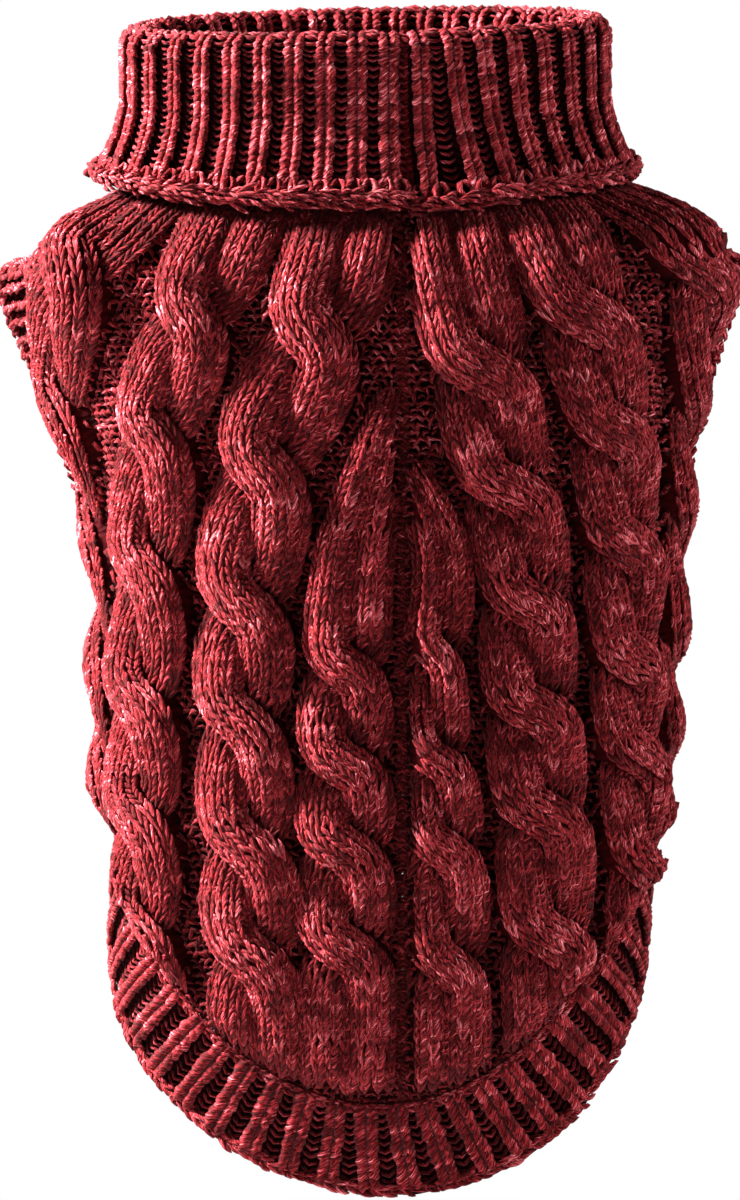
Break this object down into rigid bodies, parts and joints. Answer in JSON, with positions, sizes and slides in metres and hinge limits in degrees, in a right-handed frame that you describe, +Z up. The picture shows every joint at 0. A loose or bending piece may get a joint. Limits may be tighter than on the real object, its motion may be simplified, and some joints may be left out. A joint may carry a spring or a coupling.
{
  "type": "dog sweater",
  "caption": "Cable-knit dog pullover with a turned-down ribbed collar, open leg holes and a ribbed hem curved over the tail, filled out hollow.",
  "frame": {"origin": "on the neck's axis, level with the neck seam at the back, where the wearer's neck holds the sweater up", "axes": "+Z up through the collar, -Y out of the garment's back, +Y out of its belly, +X to the right of someone who looks at its back"},
  "size_m": [0.2109, 0.1084, 0.3324],
  "materials": {
    "cable_knit": "thick burgundy marl yarn knitted in rope cables on a purl ground",
    "belly_rib": "burgundy marl yarn knitted in a wide rib",
    "collar_rib": "burgundy marl yarn knitted in a deep narrow rib",
    "band_rib": "burgundy marl yarn knitted in a two by two rib"
  },
  "bodies": {
    "root": {"back_left": "cable_knit", "back_right": "cable_knit", "belly": "belly_rib", "collar": "collar_rib", "hem_band": "band_rib", "cuff_left": "band_rib", "cuff_right": "band_rib"}
  },
  "joints": []
}
